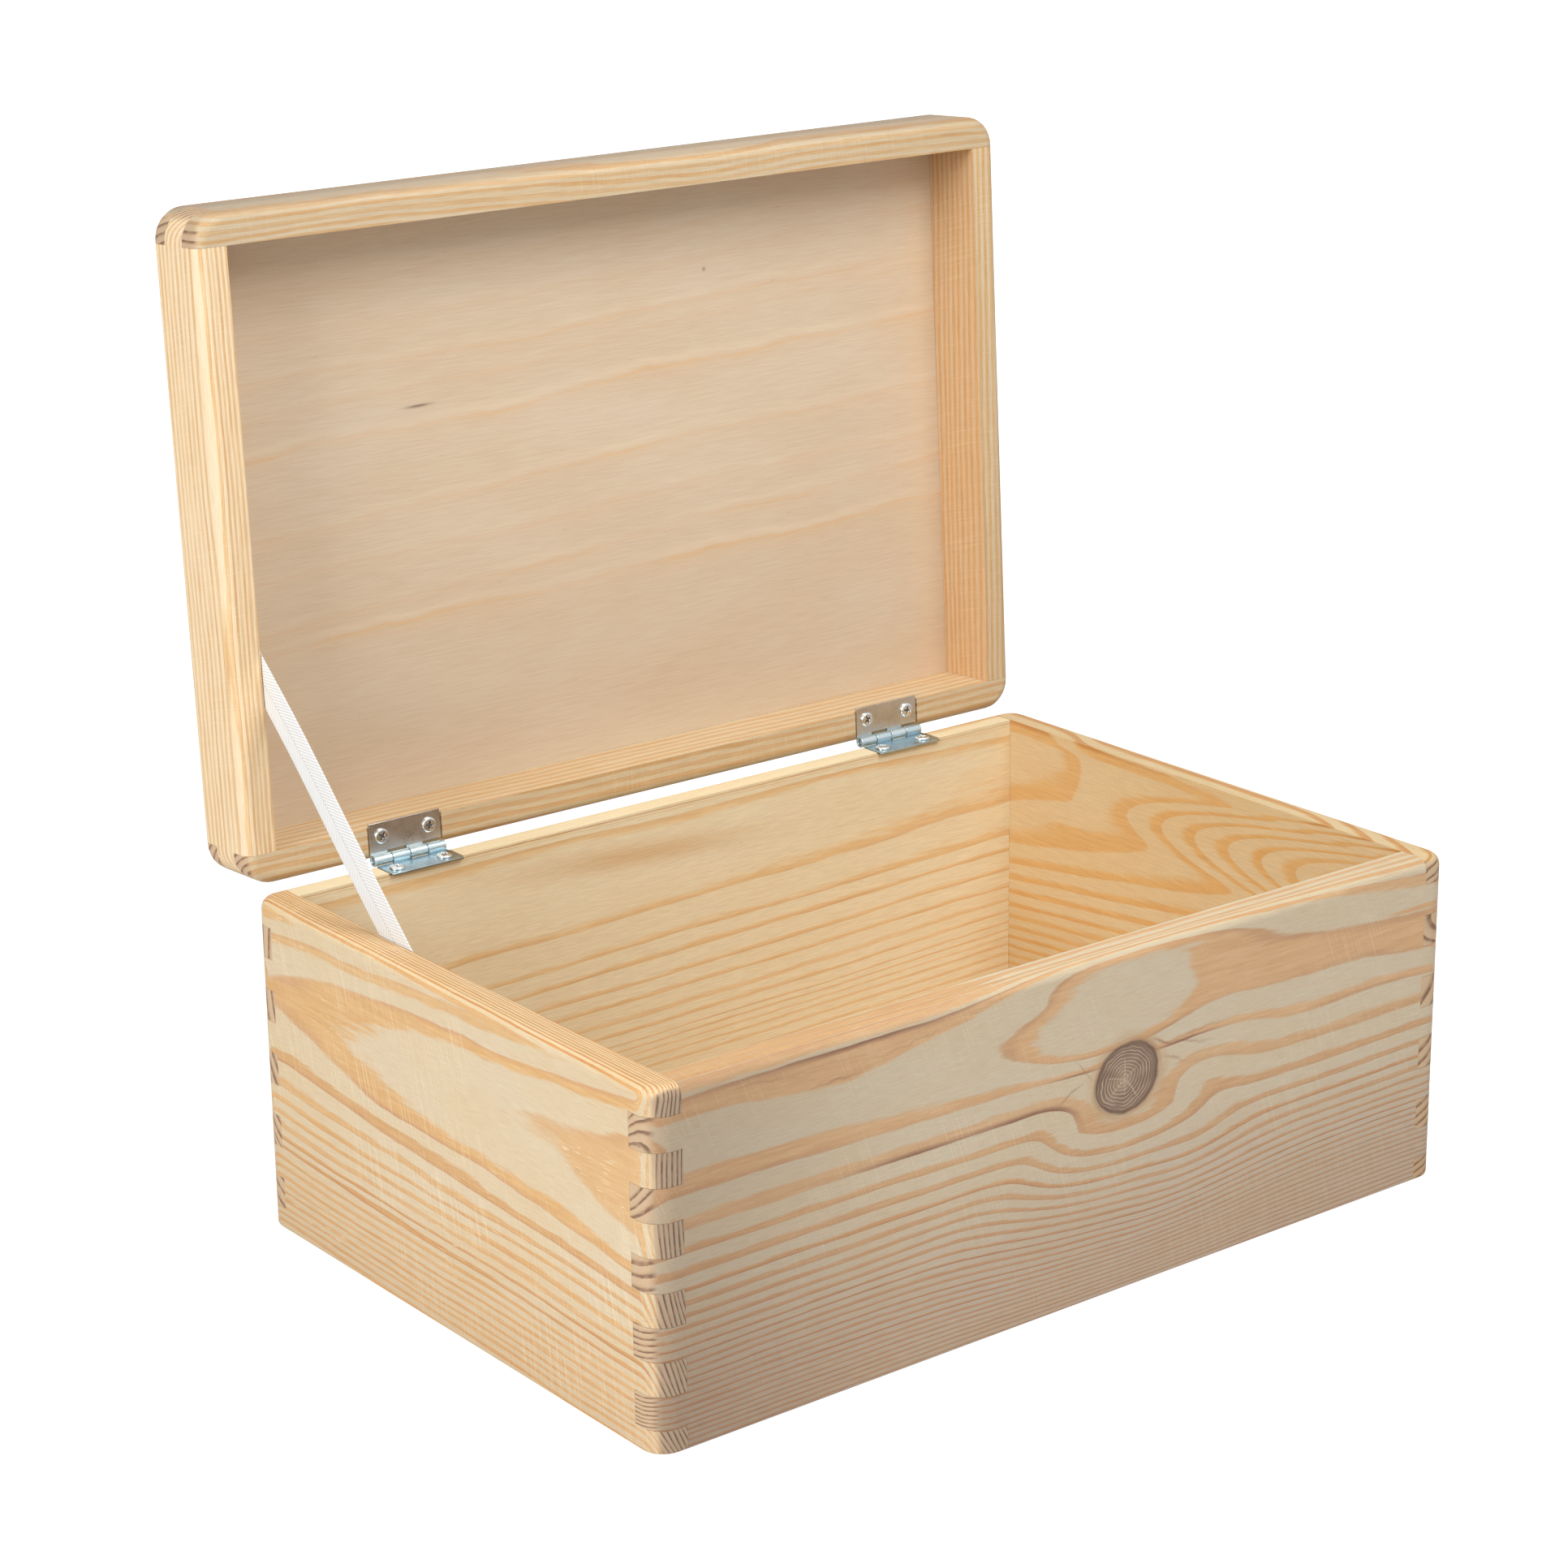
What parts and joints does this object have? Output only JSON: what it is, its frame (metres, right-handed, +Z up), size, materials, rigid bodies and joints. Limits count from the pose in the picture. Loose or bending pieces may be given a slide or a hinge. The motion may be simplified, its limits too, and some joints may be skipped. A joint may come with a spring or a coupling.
{
  "type": "hinged wooden toy box",
  "caption": "Small finger-jointed pine box with a shallow framed lid on two butt hinges, its opening stopped by a woven strap.",
  "frame": {"origin": "middle of the box's underside, on the surface that it stands on", "axes": "+X to the right along the box's length, +Y to the back, where the hinges are, +Z up"},
  "size_m": [0.3, 0.2376, 0.3055],
  "materials": {
    "pine": "unfinished sanded pine",
    "plywood": "unfinished plywood",
    "zinc": "bright zinc plate",
    "tape": "woven cotton tape"
  },
  "bodies": {
    "box": {"front_board": "pine", "back_board": "pine", "left_board": "pine", "right_board": "pine", "bottom_panel": "plywood", "left_hinge_box_leaf": "zinc", "left_hinge_pin": "zinc", "left_hinge_box_screw_1": "zinc", "left_hinge_box_screw_2": "zinc", "right_hinge_box_leaf": "zinc", "right_hinge_pin": "zinc", "right_hinge_box_screw_1": "zinc", "right_hinge_box_screw_2": "zinc", "strap": "tape", "strap_box_screw": "zinc"},
    "lid": {"lid_front_rail": "pine", "lid_back_rail": "pine", "lid_left_rail": "pine", "lid_right_rail": "pine", "lid_panel": "plywood", "left_hinge_lid_leaf": "zinc", "left_hinge_lid_screw_1": "zinc", "left_hinge_lid_screw_2": "zinc", "right_hinge_lid_leaf": "zinc", "right_hinge_lid_screw_1": "zinc", "right_hinge_lid_screw_2": "zinc", "strap_lid_screw": "zinc"}
  },
  "joints": [
    {"name": "lid_hinge", "type": "hinge", "parent": "box", "child": "lid", "pos_m": [0, 0.1, 0.10605], "axis": [1, 0, 0], "range_deg": [0, 93.6], "deforming": ["strap"]}
  ]
}
